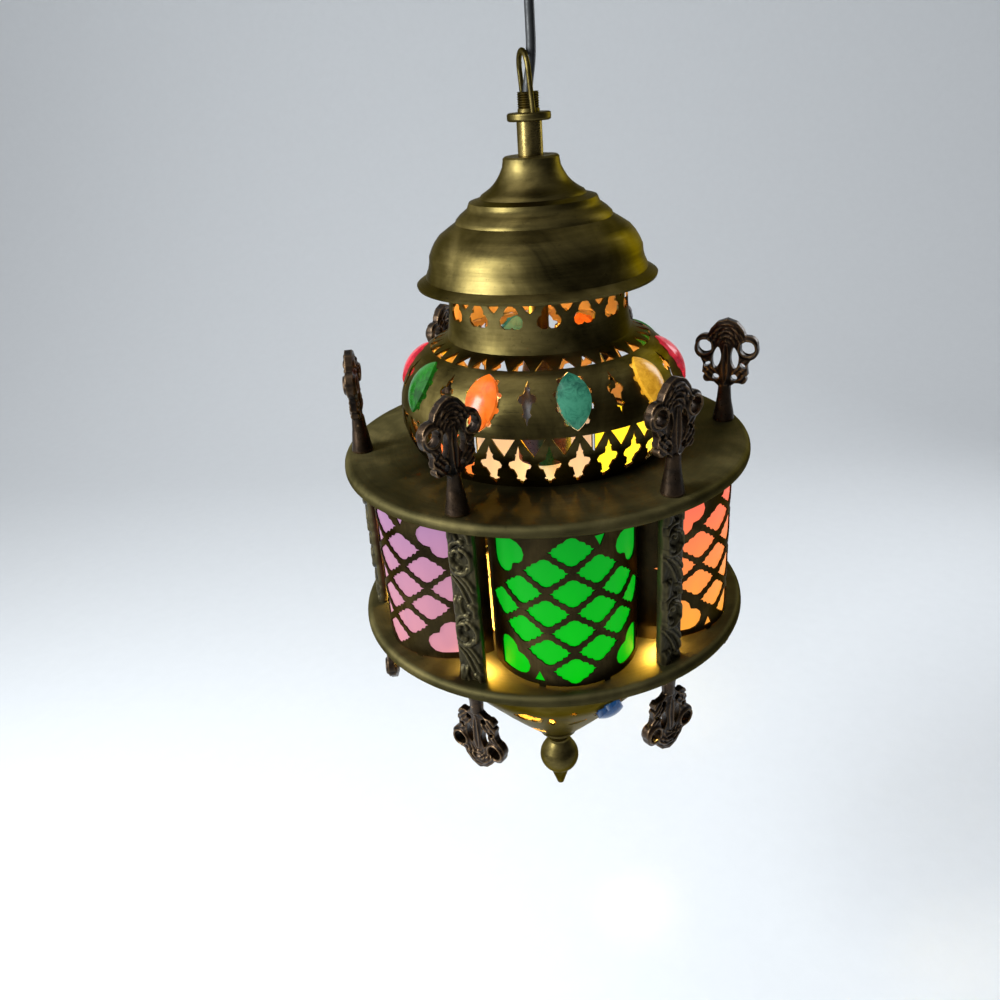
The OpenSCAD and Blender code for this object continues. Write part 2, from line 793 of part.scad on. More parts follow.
// Puts children at a panel: its own axis stands upright, and +X faces out
module at_panel(k) {
    rotate([0, 0, first_column + side_step / 2 + (k - 1) * side_step])
        translate([lobe_offset, 0, lower_z]) children();
}

// A half-round wall about the panel's axis
module half_wall(r_in, r_out, z0, z1) {
    translate([0, 0, z0]) linear_extrude(z1 - z0) difference() {
        circle(r_out);
        circle(r_in);
        translate([-2 * r_out, -r_out - 1]) square([2 * r_out, 2 * r_out + 2]);
    }
}

// Rows of openings: four stand in the middle column, three in the next two, and so on
module panel_openings() {
    arc_deg = 180 / PI / lobe_r;
    turn_step = (ogee_w + ogee_web) / 2 * arc_deg;
    side_rows = min(3, floor((86 - ogee_w / 2 * arc_deg) / turn_step));
    low_web = 2;
    high_web = 8.6;
    rise = (plate_gap - low_web - high_web - ogee_h) / 3;
    middle = low_web + ogee_h / 2 + 1.5 * rise;
    deep = 5;
    cut = 10;
    for (c = [-side_rows : side_rows], j = [0 : 3 - abs(c)]) {
        rotate([0, 0, c * turn_step])
            translate([lobe_r - deep, 0, middle + (j - (3 - abs(c)) / 2) * rise])
                facing_x(cut) ogee(ogee_w, ogee_h);
    }
    heart_turn = min(turn_step * 2.83, 84 - heart_side / 2 * arc_deg);
    for (s = [-1, 1]) {
        rotate([0, 0, s * heart_turn]) translate([lobe_r - deep, 0, 4 + heart_side / 2])
            facing_x(cut) mirror([s > 0 ? 1 : 0, 0]) heart(heart_side);
        rotate([0, 0, s * heart_turn])
            translate([lobe_r - deep, 0, plate_gap - 12.2 - heart_side / 2])
                facing_x(cut) mirror([s > 0 ? 1 : 0, 0]) mirror([0, 1]) heart(heart_side);
    }
    tip_w = 5.4;
    tip_h = 5.6;
    rotate([0, 0, turn_step * 1.1]) translate([lobe_r - deep, 0, plate_gap - 9.5])
        facing_x(cut) rotate(180) triangle_up(tip_w, tip_h);
    rotate([0, 0, -turn_step * 1.4]) translate([lobe_r - deep, 0, 3])
        facing_x(cut) triangle_up(tip_w, tip_h);
}

module panel(k) {
    color("#4d4229") from_plate() at_panel(k) difference() {
        half_wall(lobe_r - panel_t, lobe_r, 0, plate_gap);
        panel_openings();
        for (s = [-1, 0, 1]) {
            rotate([0, 0, s * 52]) translate([lobe_r - 5, -14, -1]) cube([10, 28, foot_h + 1]);
        }
    }
}

liner_colors = ["#d9a52c", "#e8b070", "#c94a3c", "#c98ab2", "#12a53a", "#f06a4a"];
liner_edge = 1.5;

module liner(k) {
    r = lobe_r - panel_t - run_gap;
    color(liner_colors[k - 1]) from_plate() at_panel(k)
        half_wall(r - liner_t, r, liner_edge, plate_gap - liner_edge);
}

// The bowl's rounded shoulder ends at this angle, and its lower wall starts there
shoulder_end = -38;
function wall_start(t) =
    [bowl_ring_r + (bowl_arc_r - t) * cos(shoulder_end), bowl_z + (bowl_arc_r - t) * sin(shoulder_end)];

// Outside line of the bowl from its mouth down to the seat of the finial
function bowl_line(t) =
    let (p = wall_start(t), q = [bowl_seat_r, bowl_low + t], belly = 0.5)
    concat(
        arc(bowl_ring_r, bowl_z, bowl_arc_r - t, bowl_top_angle, shoulder_end, 10),
        [for (s = [0.2 : 0.2 : 0.8])
            [p.x + (q.x - p.x) * s + belly * sin(180 * s), p.y + (q.y - p.y) * s - belly * sin(180 * s)]],
        [q]
    );

// Puts children on the bowl's shoulder, facing out, at a turn and an angle down
module on_bowl(turn, down, depth = 0) {
    rotate([0, 0, turn]) translate([bowl_ring_r, 0, bowl_z])
        rotate([0, down, 0]) translate([bowl_arc_r + depth, 0, 0]) children();
}

// Puts children on the bowl's lower wall, facing out, at a share of the way down it
module on_low_wall(share, depth = 0) {
    p = wall_start(0);
    d = [bowl_seat_r, bowl_low] - p;
    translate([p.x + d.x * share, 0, p.y + d.y * share]) rotate([0, atan2(-d.x, -d.y), 0])
        translate([depth, 0, 0]) children();
}

bowl_stone_count = 4;
bowl_stone_turn = 210;
bowl_stone_angle = 39;
bowl_stone_l = 21;
bowl_stone_w = 14;
bowl_stone_rise = 4.6;
bowl_stone_edge = -0.3;
bowl_stone_back = 3.4;
bowl_notch_r = 2;
bowl_sector = 360 / bowl_stone_count;
// Each group of openings starts with a flower, and the others lie this far round from it
flower_share = 0.475;
upright_way = 12;
dot_way = 26.9;
slant_way = 24.1;
small_flower_r = 3;
small_flower_petal = 2.3;
bowl_band_pitch = 21;
bowl_band_count = round(2 * PI * bowl_r / bowl_band_pitch);
bowl_band_l = 15;
bowl_band_w = 7.4;
bowl_tip_w = 7;
bowl_tip_h = 6;
flower_r = 5;
flower_petal = 4;
upright_l = 17;
upright_w = 4.6;
slant_l = 13;
slant_w = 5.6;
slant = -52;
dot_r = 1.8;

// Five round petals about a round middle
module flower(r, petal) {
    for (a = [90 : 72 : 378]) {
        rotate(a) translate([r, 0]) circle(petal, $fn = 10);
    }
    circle(r, $fn = 6);
}

// The turn about the axis that a way along the bowl makes, at an angle down
function bowl_arc(way, down) = way / (bowl_ring_r + bowl_arc_r * cos(down)) * 180 / PI;

module bowl_openings() {
    cut = 16;
    deep = 9;
    flower_down = 44;
    upright_down = 50;
    dot_down = 31;
    slant_down = 58;
    for (i = [0 : bowl_stone_count - 1]) {
        turn = bowl_stone_turn + i * bowl_sector;
        start = turn + bowl_sector * flower_share;
        on_bowl(turn, bowl_stone_angle, -deep) facing_x(cut)
            scalloped_oval(bowl_stone_l + 2 * gap, bowl_stone_w + 2 * gap, bowl_notch_r);
        on_bowl(start, flower_down, -deep) facing_x(cut) flower(flower_r, flower_petal);
        on_bowl(start + bowl_arc(upright_way, upright_down), upright_down, -deep) facing_x(cut)
            pointed_oval(upright_l, upright_w);
        on_bowl(start + bowl_arc(dot_way, dot_down), dot_down, -deep) facing_x(cut)
            circle(dot_r, $fn = 8);
        on_bowl(start + bowl_arc(slant_way, slant_down), slant_down, -deep) facing_x(cut)
            rotate(slant) pointed_oval(slant_l, slant_w);
        rotate([0, 0, turn + bowl_sector * 0.4]) on_low_wall(0.64, -deep) facing_x(cut)
            flower(small_flower_r, small_flower_petal);
    }
    for (i = [0 : bowl_band_count - 1]) {
        turn = bowl_stone_turn + i * 360 / bowl_band_count;
        on_bowl(turn, 7, -deep) facing_x(cut) spindle(bowl_band_l, bowl_band_w);
        on_bowl(turn + 180 / bowl_band_count, 3, -deep) facing_x(cut)
            rotate(180) triangle_up(bowl_tip_w, bowl_tip_h);
    }
}

module bowl() {
    inner = bowl_line(shell_t);
    color("#7f6c36") from_plate() difference() {
        rotate_extrude() polygon(concat(
            bowl_line(0),
            [[2.2, bowl_low], [2.2, bowl_low + shell_t]],
            back(inner)
        ));
        bowl_openings();
        for (s = [-1, 1]) {
            x = s > 0 ? knuckle_l / 2 + gap : -knuckle_l * 1.5 - gap;
            translate([x - 0.1, bowl_mouth_r - 8, bowl_top_z - ring_t])
                cube([knuckle_l + 0.2, 10, ring_t + 1]);
        }
    }
}

module bowl_stone(i) {
    ball = stone_ball(bowl_stone_l, bowl_stone_rise + bowl_stone_edge);
    on_bowl(bowl_stone_turn + i * bowl_sector, bowl_stone_angle) intersection() {
        translate([-bowl_stone_back, 0, 0]) facing_x(bowl_stone_back + bowl_stone_rise + 1)
            pointed_oval(bowl_stone_l, bowl_stone_w);
        translate([bowl_stone_rise - ball, 0, 0]) sphere(r = ball);
    }
}

module bowl_stones_green() {
    color("#17a02f") from_plate() {
        for (i = [0 : 2 : bowl_stone_count - 1]) {
            bowl_stone(i);
        }
    }
}

module bowl_stones_blue() {
    color("#1f4f9a") from_plate() {
        for (i = [1 : 2 : bowl_stone_count - 1]) {
            bowl_stone(i);
        }
    }
}

// One barrel knuckle of the hinge, bored for the pin
module knuckle(x0, l, bore) {
    translate([x0, hinge_y, hinge_z]) rotate([0, 90, 0]) difference() {
        cylinder(r = hinge_r, h = l, $fn = 48);
        translate([0, 0, -1]) cylinder(r = bore, h = l + 2, $fn = 48);
    }
}

// The flat ring that stiffens the bowl's mouth, with its knuckles and the spring tongue
module bowl_ring() {
    inner_r = mouth_r - 4;
    tongue_w = 10;
    tongue_rise = 4.5;
    color("#6d5f31") from_plate() {
        difference() {
            union() {
                ring_wall(inner_r, bowl_mouth_r - shell_t, bowl_top_z - ring_t, bowl_top_z);
                for (s = [-1, 1]) {
                    x = s > 0 ? knuckle_l / 2 + gap : -knuckle_l * 1.5 - gap;
                    knuckle(x, knuckle_l, pin_r + run_gap);
                    translate([x, bowl_mouth_r - 7, bowl_top_z - ring_t])
                        cube([knuckle_l, hinge_y - bowl_mouth_r + 7, ring_t]);
                    translate([x, hinge_y - 2, hinge_z]) cube([knuckle_l, 2, bowl_top_z - hinge_z]);
                }
            }
            translate([0, hinge_y, hinge_z]) rotate([0, 90, 0])
                cylinder(r = pin_r + run_gap, h = 4 * knuckle_l, center = true, $fn = 48);
        }
        translate([-tongue_w / 2, -mouth_r + 1, bowl_top_z - ring_t])
            cube([tongue_w, 1, lower_z + tongue_rise - bowl_top_z + ring_t]);
    }
}

module bowl_hinge() {
    leaf_d = 12;
    y0 = bowl_mouth_r + 1.6;
    color("#6d5f31") from_plate() {
        difference() {
            union() {
                translate([-knuckle_l / 2, y0, lower_z - plate_t - 1]) cube([knuckle_l, leaf_d + 2, 1]);
                translate([-knuckle_l / 2, hinge_y - 1, hinge_z]) cube([knuckle_l, 2, 4]);
                knuckle(-knuckle_l / 2, knuckle_l, pin_r);
            }
            translate([0, hinge_y, hinge_z]) rotate([0, 90, 0])
                cylinder(r = pin_r, h = 4 * knuckle_l, center = true, $fn = 48);
        }
    }
}

module hinge_pin() {
    color("#a9a08a") from_plate() translate([-knuckle_l * 1.5 - 2, hinge_y, hinge_z])
        rotate([0, 90, 0]) cylinder(r = pin_r, h = 3 * knuckle_l + 4, $fn = 48);
}

// Turned finial that closes the bottom of the bowl, with its stud inside the bowl
module bottom_finial() {
    r = ball_d / 2;
    neck = 6.3;
    under = 11;
    stud = 2.2;
    stud_h = 8;
    seat_t = 1.5;
    flare = 2.4;
    flare_z = 5;
    neck_z = 8.6;
    neck_low = 10;
    pear = 1.6;
    pear_z = 12.4;
    tip_l = 13.4;
    shoulder_turn = 33;
    tip_turn = -61;
    tip_r = r * cos(tip_turn);
    ball_z = bowl_low - under - r;
    tip_z = ball_z + r * sin(tip_turn);
    color("#7a6c38") from_plate() rotate_extrude() polygon(concat(
        [[0, bowl_low + stud_h], [stud, bowl_low + stud_h], [stud, bowl_low]],
        [[bowl_seat_r, bowl_low], [bowl_seat_r, bowl_low - seat_t], [neck + flare, bowl_low - flare_z],
            [neck, bowl_low - neck_z], [neck, bowl_low - neck_low], [neck + pear, bowl_low - pear_z]],
        arc(0, ball_z, r, shoulder_turn, tip_turn, 12),
        [[tip_r * 0.97, tip_z - tip_l * 0.06], [tip_r * 0.78, tip_z - tip_l * 0.37],
            [tip_r * 0.52, tip_z - tip_l * 0.71], [tip_r * 0.36, tip_z - tip_l * 0.94],
            [0, tip_z - tip_l]]
    ));
}

module lampholder() {
    color("#26241f") from_plate() difference() {
        translate([0, 0, holder_low]) rotate_extrude() polygon([[0, 0], [holder_r, 0],
            [holder_r, holder_l - 14], [holder_r - 4, holder_l - 8], [tube_r + 3, holder_l],
            [0, holder_l]]);
        translate([0, 0, holder_low - 1]) cylinder(r = cap_screw_r + 0.6, h = holder_l - 20);
        translate([0, 0, holder_top - 10]) cylinder(r = tube_r, h = 12);
        for (s = [-1, 1]) {
            translate([s * 1.7, 0, holder_low + holder_l - 24]) cylinder(r = 1.1, h = 20, $fn = 24);
        }
    }
}

module holder_leads() {
    low = holder_low + holder_l - 22;
    color("#7a3b20") from_plate() {
        for (s = [-1, 1]) {
            translate([s * 1.7, 0, low]) cylinder(r = 0.9, h = cord_points[0].z - low, $fn = 24);
        }
    }
}

// Outline of the bulb: a round glass under a screw cap, thinner by t
function bulb_line(t) =
    let (ball_z = bulb_low + bulb_r, r = bulb_r - t)
    concat(
        [[cap_screw_r - t, holder_low + 23 - t / 2], [cap_screw_r - t, holder_low]],
        [[8.5 - t, holder_low - 3.5]],
        arc(0, ball_z, r, 58, -90, 18)
    );

module bulb() {
    wall = 1;
    tip = 1.4;
    color("#fff1c4") from_plate() rotate_extrude() polygon(concat(
        [[tip, holder_low + 26], [3.5, holder_low + 26]],
        bulb_line(0),
        back(bulb_line(wall)),
        [[tip, holder_low + 25]]
    ));
}

ceiling_rose();
rose_bracket();
rose_fasteners();
cord_grip();
terminal_block();
cord();
cord_bush();
hanging_loop();
threaded_tube();
spacer_sleeve();
cap();
tube_nuts();
upper_dome();
stones_green();
stones_orange();
stones_teal();
stones_yellow();
stones_red();
top_plate();
top_finial(1);  // top_finial_1
top_finial(2);  // top_finial_2
top_finial(3);  // top_finial_3
top_finial(4);  // top_finial_4
top_finial(5);  // top_finial_5
top_finial(6);  // top_finial_6
column(1);  // column_1
column(2);  // column_2
column(3);  // column_3
column(4);  // column_4
column(5);  // column_5
column(6);  // column_6
panel(1);  // panel_1
panel(2);  // panel_2
panel(3);  // panel_3
panel(4);  // panel_4
panel(5);  // panel_5
panel(6);  // panel_6
liner(1);  // liner_1
liner(2);  // liner_2
liner(3);  // liner_3
liner(4);  // liner_4
liner(5);  // liner_5
liner(6);  // liner_6
bottom_plate();
lower_finial(1);  // lower_finial_1
lower_finial(2);  // lower_finial_2
lower_finial(3);  // lower_finial_3
lower_finial(4);  // lower_finial_4
lower_finial(5);  // lower_finial_5
lower_finial(6);  // lower_finial_6
bowl();
bowl_ring();
bowl_stones_green();
bowl_stones_blue();
bottom_finial();
bowl_hinge();
hinge_pin();
lampholder();
holder_leads();
bulb();
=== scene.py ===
"""Looks of the pierced brass fanous lantern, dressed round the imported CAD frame."""
import math

import bpy
import numpy as np
from mathutils import Matrix, Vector


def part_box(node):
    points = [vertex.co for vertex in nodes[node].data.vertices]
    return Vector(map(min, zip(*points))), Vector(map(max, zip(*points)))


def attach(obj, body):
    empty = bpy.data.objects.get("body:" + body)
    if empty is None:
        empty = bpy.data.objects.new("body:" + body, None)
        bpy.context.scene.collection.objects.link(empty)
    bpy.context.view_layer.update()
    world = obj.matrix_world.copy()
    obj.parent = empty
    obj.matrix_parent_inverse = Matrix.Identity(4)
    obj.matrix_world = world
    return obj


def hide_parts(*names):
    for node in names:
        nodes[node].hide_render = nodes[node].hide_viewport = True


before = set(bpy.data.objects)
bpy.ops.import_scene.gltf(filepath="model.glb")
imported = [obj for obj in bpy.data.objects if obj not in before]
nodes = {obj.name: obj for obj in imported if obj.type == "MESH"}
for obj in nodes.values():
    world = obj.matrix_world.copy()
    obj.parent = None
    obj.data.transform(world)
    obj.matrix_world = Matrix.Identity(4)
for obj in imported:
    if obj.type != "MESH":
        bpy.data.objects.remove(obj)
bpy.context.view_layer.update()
scene = bpy.context.scene
scene.view_settings.view_transform = "Standard"

MM = 0.001
SIDES = 6
# The lantern's own axis and the upper face of its top plate, in the row frame, to 0.1 mm
plate_low, plate_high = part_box("top_plate")
AXIS_X = round((plate_low[0] + plate_high[0]) / 2, 4)
PLATE_Z = round(plate_high[2], 4)


def at(x, y, z):
    """A point given in mm from the middle of the top plate's upper face."""
    return Vector((x * MM + AXIS_X, y * MM, z * MM + PLATE_Z))


# Camera

# Yaw, pitch below the horizon and roll in degrees, worked out from the photograph's perspective
CAMERA_TURN = (-3.4597, 25.9544, -4.265)
CAMERA_SPOT = (0, -427.4, 171.15)
CAMERA_LENS = 31.32
CAMERA_SENSOR = 36
CAMERA_NEAR = 0.01


def make_camera():
    yaw, pitch, roll = (math.radians(a) for a in CAMERA_TURN)
    ahead = Vector((math.sin(yaw) * math.cos(pitch), math.cos(yaw) * math.cos(pitch), -math.sin(pitch)))
    side = Vector((math.cos(yaw), -math.sin(yaw), 0))
    over = side.cross(ahead)
    right = side * math.cos(roll) + over * math.sin(roll)
    up = over * math.cos(roll) - side * math.sin(roll)
    cam = bpy.data.objects.new("camera", bpy.data.cameras.new("camera"))
    cam.data.lens = CAMERA_LENS
    cam.data.sensor_width = CAMERA_SENSOR
    cam.data.clip_start = CAMERA_NEAR
    turn = Matrix((right, up, -ahead)).transposed().to_4x4()
    cam.matrix_world = Matrix.Translation(at(*CAMERA_SPOT)) @ turn
    scene.collection.objects.link(cam)
    scene.camera = cam


make_camera()


# Cord

CORD_D = 4.4 * MM
# The route's points in mm, across and up, from inside the tube's bush to the rose's grip
CORD_ROUTE = [(0, 150), (0, 157), (0, 164), (0.5, 168), (1.4, 173), (2.1, 178), (2.4, 184),
              (2.4, 190), (2.4, 198), (2.4, 208), (2.4, 217), (2.4, 224)]


def smooth_route(points, per_span=3):
    """Points of a Catmull-Rom curve through the given ones."""
    p = [np.array(q, float) for q in points]
    p = [2 * p[0] - p[1]] + p + [2 * p[-1] - p[-2]]
    out = []
    for i in range(1, len(p) - 2):
        for s in np.linspace(0, 1, per_span, endpoint=False):
            a, b, c, d = p[i - 1], p[i], p[i + 1], p[i + 2]
            out.append(0.5 * (2 * b + (c - a) * s + (2 * a - 5 * b + 4 * c - d) * s ** 2
                              + (3 * b - a - 3 * c + d) * s ** 3))
    return out + [p[-2]]


def make_cord():
    """The flex, as a round curve. Its points carry its radius, so that its box is its real one."""
    points = [at(x, 0, z) for x, z in smooth_route(CORD_ROUTE)]
    curve = bpy.data.curves.new("flex", "CURVE")
    curve.dimensions = "3D"
    curve.bevel_depth = 1.0
    curve.bevel_resolution = 6
    curve.use_fill_caps = True
    line = curve.splines.new("POLY")
    line.points.add(len(points) - 1)
    for q, v in zip(line.points, points):
        q.co = (*v, 1)
        q.radius = CORD_D / 2
    line.use_smooth = True
    obj = bpy.data.objects.new("flex", curve)
    scene.collection.objects.link(obj)
    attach(obj, "lantern")
    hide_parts("cord")
    return obj


flex = make_cord()


# Materials

# A face looks inwards where the cosine between its normal and the way outwards is below this
LOOKS_IN = -0.3
BLACK = (0.0, 0.0, 0.0)


class Shade:
    """A small helper round one node material."""

    def __init__(self, name, **inputs):
        self.mat = bpy.data.materials.new(name)
        self.mat.use_nodes = True
        self.tree = self.mat.node_tree
        self.tree.nodes.clear()
        self.out = self.node("ShaderNodeOutputMaterial")
        self.bsdf = self.node("ShaderNodeBsdfPrincipled")
        self.link(self.bsdf.outputs[0], self.out.inputs["Surface"])
        for key, value in inputs.items():
            self.fix(key.replace("_", " "), value)

    def node(self, kind, **props):
        n = self.tree.nodes.new(kind)
        for key, value in props.items():
            setattr(n, key, value)
        return n

    def link(self, a, b):
        self.tree.links.new(a, b)

    def fix(self, key, value):
        """Sets a shader input that is the same all over."""
        self.bsdf.inputs[key].default_value = value

    def set(self, key, value):
        """Feeds a shader input from a node."""
        self.link(value, self.bsdf.inputs[key])

    def math(self, op, a, b=0.0, clamp=False):
        n = self.node("ShaderNodeMath", operation=op, use_clamp=clamp)
        for i, v in enumerate((a, b)):
            if isinstance(v, (int, float)):
                n.inputs[i].default_value = v
            else:
                self.link(v, n.inputs[i])
        return n.outputs[0]

    def blend(self, a, b, share):
        """The share of a, and of b what is left."""
        return self.math("ADD", self.math("MULTIPLY", a, share), self.math("MULTIPLY", b, 1 - share))

    def place(self):
        """Position from the lantern's axis, in metres."""
        tex = self.node("ShaderNodeTexCoord")
        shift = self.node("ShaderNodeVectorMath", operation="SUBTRACT")
        self.link(tex.outputs["Object"], shift.inputs[0])
        shift.inputs[1].default_value = (AXIS_X, 0, PLATE_Z)
        return shift.outputs[0]

    def parts(self, vector):
        n = self.node("ShaderNodeSeparateXYZ")
        self.link(vector, n.inputs[0])
        return n.outputs

    def falling(self, top, rate):
        """0 above a height in metres, growing downwards by rate for each metre, up to 1."""
        z = self.parts(self.place())[2]
        return self.math("MULTIPLY", self.math("ADD", z, -top), -rate, clamp=True)

    def looks_in(self, middle_z):
        """1 where a face looks towards a point on the axis, else 0."""
        way = self.node("ShaderNodeVectorMath", operation="SUBTRACT")
        self.link(self.place(), way.inputs[0])
        way.inputs[1].default_value = (0, 0, middle_z * MM)
        unit = self.node("ShaderNodeVectorMath", operation="NORMALIZE")
        self.link(way.outputs[0], unit.inputs[0])
        dot = self.node("ShaderNodeVectorMath", operation="DOT_PRODUCT")
        self.link(unit.outputs[0], dot.inputs[0])
        self.link(self.node("ShaderNodeNewGeometry").outputs["Normal"], dot.inputs[1])
        return self.math("LESS_THAN", dot.outputs["Value"], LOOKS_IN)

    def spun(self, along=0.004):
        """Coordinates that change fast across the turning marks and slowly along them."""
        x, y, z = self.parts(self.place())
        r = self.math("SQRT", self.math("ADD", self.math("MULTIPLY", x, x), self.math("MULTIPLY", y, y)))
        turn = self.math("ARCTAN2", x, self.math("MULTIPLY", y, -1.0))
        n = self.node("ShaderNodeCombineXYZ")
        self.link(r, n.inputs[0])
        self.link(self.math("MULTIPLY", turn, along), n.inputs[1])
        self.link(z, n.inputs[2])
        return n.outputs[0]

    def stretched(self, scale):
        n = self.node("ShaderNodeMapping")
        self.link(self.place(), n.inputs["Vector"])
        n.inputs["Scale"].default_value = scale
        return n.outputs[0]

    def noise(self, vector, scale, detail=4.0, rough=0.55, distort=0.0):
        n = self.node("ShaderNodeTexNoise")
        self.link(vector, n.inputs["Vector"])
        n.inputs["Scale"].default_value = scale
        n.inputs["Detail"].default_value = detail
        n.inputs["Roughness"].default_value = rough
        n.inputs["Distortion"].default_value = distort
        return n.outputs["Fac"]

    def ramp(self, fac, stops):
        n = self.node("ShaderNodeValToRGB")
        self.link(fac, n.inputs[0])
        ramp = n.color_ramp
        while len(ramp.elements) < len(stops):
            ramp.elements.new(0.5)
        for element, (position, color) in zip(ramp.elements, stops):
            element.position = position
            element.color = (*color, 1)
        return n.outputs[0]

    def grey(self, fac, start, first, end, last):
        """A value that goes from first to last as fac goes from start to end."""
        return self.ramp(fac, [(start, (first,) * 3), (end, (last,) * 3)])

    def mix(self, fac, a, b):
        n = self.node("ShaderNodeMix", data_type="RGBA", blend_type="MIX")
        for sock, v in ((n.inputs[0], fac), (n.inputs[6], a), (n.inputs[7], b)):
            if isinstance(v, (int, float)):
                sock.default_value = v
            elif isinstance(v, tuple):
                sock.default_value = (*v, 1)
            else:
                self.link(v, sock)
        return n.outputs[2]

    def bump(self, height, depth, strength, onto=None):
        n = self.node("ShaderNodeBump")
        n.inputs["Strength"].default_value = strength
        n.inputs["Distance"].default_value = depth
        self.link(height, n.inputs["Height"])
        if onto is not None:
            self.link(onto, n.inputs["Normal"])
        self.link(n.outputs[0], self.bsdf.inputs["Normal"])
        return n.outputs[0]


def dimmed(color, share):
    return tuple(c * share for c in color)


# The inner side of the shells: dull raw metal that no polish ever reached, in a lighter warm tone that also
# paints the bulb's glow inside
RAW_AND_GLOW = (0.46, 0.27, 0.09)
RAW_AND_GLOW_DIM = (0.3, 0.175, 0.06)
RAW_ROUGH = (0.55, 0.55, 0.55)
RAW_LESS_METAL = 0.55
EDGE_TINT = (0.5, 0.46, 0.36, 1)
TURNING_SHINE = 0.45


def brass(name, dark, mid, bright, rough=(0.26, 0.46), spun=True, tarnish=0.5, marks=0.00006, hollow=None):
    """Aged brass: turning or rolling marks, cloudy tarnish and rubbed lighter places.

    A shell gives its middle's height in mm as hollow: faces that look at it are dull raw metal, in a lighter
    tone that also paints the bulb's glow inside.
    """
    s = Shade(name, Metallic=1.0, Roughness=0.35)
    s.fix("Specular Tint", EDGE_TINT)
    if spun:
        s.fix("Anisotropic", TURNING_SHINE)
        tangent = s.node("ShaderNodeTangent", direction_type="RADIAL", axis="Z")
        s.link(tangent.outputs[0], s.bsdf.inputs["Tangent"])
        lines = s.noise(s.spun(), scale=700, detail=5, rough=0.6)
        fine = s.noise(s.spun(0.001), scale=2600, detail=3, rough=0.6)
    else:
        lines = s.noise(s.stretched((1, 1, 0.06)), scale=900, detail=4, rough=0.6)
        fine = s.noise(s.stretched((1, 1, 1)), scale=2200, detail=3, rough=0.6)
    cloud = s.noise(s.place(), scale=26, detail=6, rough=0.62, distort=0.6)
    specks = s.noise(s.place(), scale=340, detail=5, rough=0.7)
    base = s.ramp(s.blend(cloud, lines, 0.86), [(0.36, dark), (0.52, mid), (0.7, bright)])
    spots = s.grey(specks, 0.6, 0.0, 0.72, tarnish)
    base = s.mix(spots, base, dimmed(dark, 0.3))
    gloss = s.grey(s.blend(cloud, fine, 0.6), 0.36, rough[0], 0.66, rough[1])
    if hollow is not None:
        within = s.looks_in(hollow)
        # Painted light: the inner faces take a lighter warm tone that stands in for the bulb's glow, on top
        # of being dull raw metal
        base = s.mix(within, base, s.ramp(cloud, [(0.3, RAW_AND_GLOW_DIM), (0.7, RAW_AND_GLOW)]))
        gloss = s.mix(within, gloss, RAW_ROUGH)
        s.set("Metallic", s.math("SUBTRACT", 1.0, s.math("MULTIPLY", within, RAW_LESS_METAL)))
    s.set("Base Color", base)
    s.set("Roughness", gloss)
    first = s.bump(lines, marks, 0.3)
    s.bump(specks, marks * 0.8, 0.35, first)
    return s.mat


def cast(name, dark, mid, bright, rough=(0.24, 0.5)):
    """Blackened cast bronze with rubbed highs, lighter on sharp edges as wear and as a painted highlight,
    and a lumpy sand-cast skin.
    """
    s = Shade(name, Metallic=0.85, Roughness=0.4)
    cloud = s.noise(s.place(), scale=90, detail=6, rough=0.65, distort=0.8)
    grain = s.noise(s.place(), scale=900, detail=5, rough=0.7)
    # Sharp convex edges take the bright tone: rubbed wear, and also a painted highlight
    rubbed_and_highlit = s.grey(s.node("ShaderNodeNewGeometry").outputs["Pointiness"], 0.5, 0.0, 0.58, 0.8)
    base = s.ramp(cloud, [(0.36, dark), (0.62, mid)])
    s.set("Base Color", s.mix(rubbed_and_highlit, base, bright))
    s.set("Roughness", s.grey(grain, 0.35, rough[0], 0.7, rough[1]))
    first = s.bump(grain, 0.12 * MM, 0.5)
    s.bump(cloud, 0.3 * MM, 0.3, first)
    return s.mat


def stone(name, color, deep, glow=0.62):
    """Cast coloured glass, milky and veined, with a painted glow for the light from behind."""
    s = Shade(name, Roughness=0.24, IOR=1.5, Coat_Weight=0.16, Coat_Roughness=0.1,
              Specular_IOR_Level=0.22, Emission_Strength=glow)
    veins = s.noise(s.place(), scale=240, detail=6, rough=0.65, distort=1.6)
    cloud = s.noise(s.place(), scale=90, detail=3, rough=0.5)
    pale = tuple(min(1, c * 1.2 + 0.02) for c in color)
    body = s.ramp(s.blend(veins, cloud, 0.5), [(0.36, deep), (0.54, color), (0.8, pale)])
    s.set("Base Color", s.mix(0.6, body, BLACK))
    # Painted light: the glass glows in its own colour as if lit by the bulb from behind
    s.set("Emission Color", body)
    s.bump(veins, 0.2 * MM, 0.25)
    return s.mat


def liner(name, high, low, glow=1.0):
    """Translucent coloured sheet with a painted glow for the bulb's light behind it, painted brighter and
    warmer towards the bottom.
    """
    s = Shade(name, Roughness=0.4, Specular_IOR_Level=0.08, Emission_Strength=glow)
    half_way = tuple((a + b) / 2 for a, b in zip(high, low))
    # Painted light: the sheet glows as if lit by the bulb, brighter and warmer towards the bottom nearer the
    # bulb
    body = s.ramp(s.falling(-0.012, 13.5), [(0.0, high), (0.45, half_way), (1.0, low)])
    streak = s.noise(s.stretched((1, 1, 0.25)), scale=60, detail=4, rough=0.5)
    body = s.mix(s.grey(streak, 0.35, 0.0, 0.7, 0.25), body, dimmed(high, 0.72))
    s.set("Base Color", s.mix(0.9, body, BLACK))
    s.set("Emission Color", body)
    s.bump(streak, 0.2 * MM, 0.2)
    return s.mat


